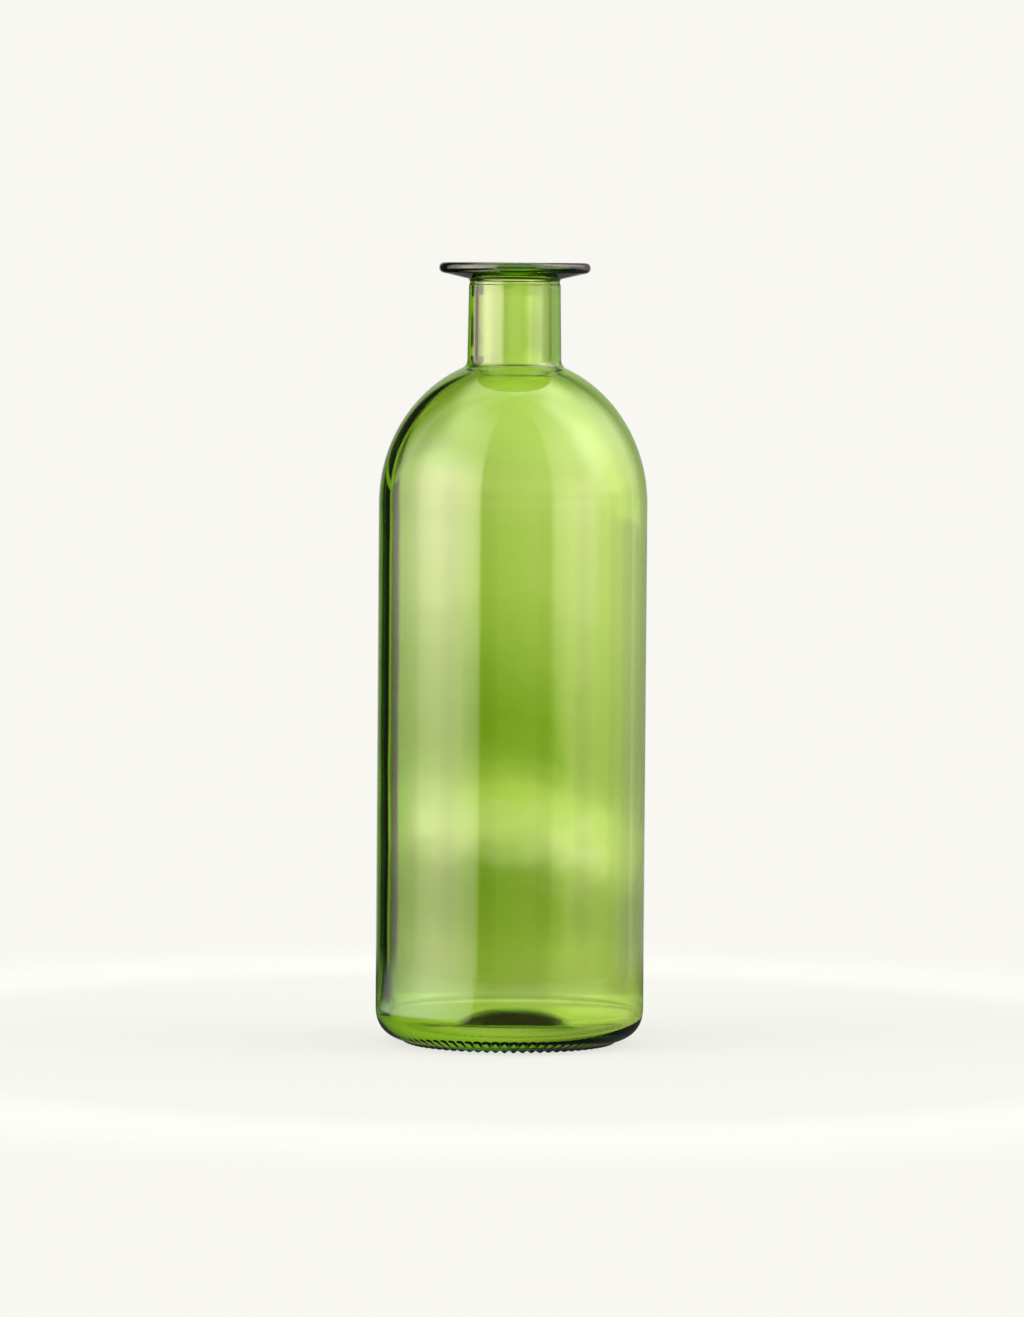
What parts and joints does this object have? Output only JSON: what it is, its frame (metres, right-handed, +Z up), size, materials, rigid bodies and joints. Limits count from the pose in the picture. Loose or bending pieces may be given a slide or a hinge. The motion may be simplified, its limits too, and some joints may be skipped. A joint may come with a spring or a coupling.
{
  "type": "bud vase",
  "caption": "Tall green glass bottle vase with a flat flanged lip, slim neck, domed shoulder and straight barrel on a knurled base; holds cut stems in water.",
  "frame": {"origin": "on the vase's axis, in the plane that the knurl bars of the base stand on", "axes": "+Z up along the axis, from the base to the mouth; X and Y are alike, because the vase is turned about Z"},
  "size_m": [0.075, 0.075, 0.2182],
  "materials": {
    "green_glass": "clear body-tinted green glass, smooth and glossy"
  },
  "bodies": {
    "root": {"lip": "green_glass", "neck": "green_glass", "shoulder": "green_glass", "body": "green_glass", "base": "green_glass"}
  },
  "joints": []
}
